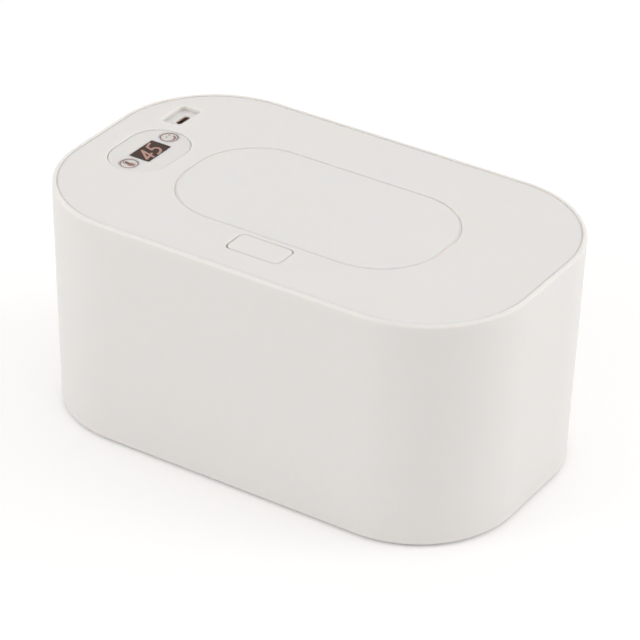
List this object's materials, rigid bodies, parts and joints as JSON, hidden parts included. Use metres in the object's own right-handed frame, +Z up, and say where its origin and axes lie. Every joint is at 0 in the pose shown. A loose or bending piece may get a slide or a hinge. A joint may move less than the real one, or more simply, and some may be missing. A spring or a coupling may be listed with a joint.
{
  "type": "baby wipe warmer",
  "caption": "Rounded wipe warmer tub with a lift-off heated cover, flush flip lid over a wipe slot, press-to-open button, small display, two keys and a top charging port.",
  "frame": {"origin": "centre of the footprint, on the surface that the feet stand on", "axes": "+Z up, +X along the length towards the end without the keys, -Y towards the front with the release button"},
  "size_m": [0.24, 0.1436, 0.1148],
  "materials": {
    "shell_white": "fine satin moulding",
    "liner_white": "satin moulding",
    "foam_grey": "closed-cell foam",
    "foot_rubber": "matt rubber",
    "screw_steel": "zinc plated",
    "cover_white": "fine satin moulding",
    "tray_white": "plain moulding",
    "seal_silicone": "soft silicone",
    "well_white": "satin moulding",
    "mouth_silicone": "soft silicone",
    "pin_steel": "ground steel",
    "spring_steel": "bright wire",
    "lid_white": "fine satin moulding",
    "lid_liner_white": "satin moulding",
    "button_white": "fine satin moulding",
    "latch_acetal": "slippery moulding",
    "housing_white": "plain moulding",
    "heater_aluminium": "brushed sheet",
    "film_polyimide": "clear amber film",
    "felt_grey": "needled felt",
    "sensor_epoxy": "dipped epoxy bead",
    "fuse_metal": "drawn can",
    "clip_steel": "spring steel strip",
    "panel_white": "fine satin moulding",
    "window_smoke": "smoked polished window",
    "key_white": "fine satin moulding",
    "display_black": "black display body",
    "switch_black": "black moulding",
    "board_green": "solder mask",
    "port_steel": "drawn steel shell",
    "tongue_black": "black moulding",
    "chip_black": "black package",
    "coil_grey": "moulded ferrite",
    "socket_ivory": "ivory moulding",
    "lead_black": "sleeved lead",
    "lead_grey": "sleeved lead",
    "lead_red": "sleeved lead"
  },
  "bodies": {
    "tub": {"outer_shell": "shell_white", "inner_tub": "liner_white", "foam_wrap": "foam_grey", "foam_floor": "foam_grey", "foot_pads": "foot_rubber", "tub_screws": "screw_steel"},
    "cover": {"top_cover": "cover_white", "under_cover": "tray_white", "cover_seal": "seal_silicone", "cover_screws": "screw_steel", "lid_well": "well_white", "wipe_mouth": "mouth_silicone", "well_screws": "screw_steel", "hinge_pin": "pin_steel", "lid_springs": "spring_steel", "latch_housing": "housing_white", "latch_screws": "screw_steel", "button_springs": "spring_steel", "heater_plate": "heater_aluminium", "heater_film": "film_polyimide", "heat_pad": "felt_grey", "thermistor": "sensor_epoxy", "thermal_fuse": "fuse_metal", "heater_clips": "clip_steel", "control_panel": "panel_white", "display_window": "window_smoke", "display_module": "display_black", "tact_switches": "switch_black", "display_board": "board_green", "usb_shell": "port_steel", "usb_tongue": "tongue_black", "usb_board": "board_green", "main_board": "board_green", "controller_chip": "chip_black", "power_coil": "coil_grey", "lead_sockets": "socket_ivory", "board_screws": "screw_steel", "power_lead": "lead_black", "signal_lead": "lead_grey", "heater_leads": "lead_red"},
    "lid": {"lid_cap": "lid_white", "lid_liner": "lid_liner_white", "lid_seal": "seal_silicone"},
    "button": {"release_button": "button_white"},
    "latch": {"latch_slide": "latch_acetal"},
    "heat_key_cap": {"heat_key": "key_white"},
    "night_key_cap": {"night_key": "key_white"}
  },
  "joints": [
    {"name": "cover_lift", "type": "slide", "parent": "tub", "child": "cover", "axis": [0, 0, 1], "range_m": [0, 0.12]},
    {"name": "lid_hinge", "type": "hinge", "parent": "cover", "child": "lid", "pos_m": [0.0017, 0.04175, 0.1093], "axis": [-1, 0, 0], "range_deg": [0, 95]},
    {"name": "button_press", "type": "slide", "parent": "cover", "child": "button", "axis": [0, 0, -1], "range_m": [0, 0.002], "stiffness_N_per_m": 1500, "springref_m": -0.001, "deforming": ["button_springs"]},
    {"name": "latch_draw", "type": "slide", "parent": "cover", "child": "latch", "axis": [0, -1, 0], "range_m": [0, 0.002]},
    {"name": "heat_key_press", "type": "slide", "parent": "cover", "child": "heat_key_cap", "axis": [0, 0, -1], "range_m": [0, 0.0005], "stiffness_N_per_m": 1500, "springref_m": -0.0005},
    {"name": "night_key_press", "type": "slide", "parent": "cover", "child": "night_key_cap", "axis": [0, 0, -1], "range_m": [0, 0.0005], "stiffness_N_per_m": 1500, "springref_m": -0.0005}
  ],
  "couplings": [
    {"joint": "latch_draw", "follows": "button_press", "ratio": 1}
  ]
}
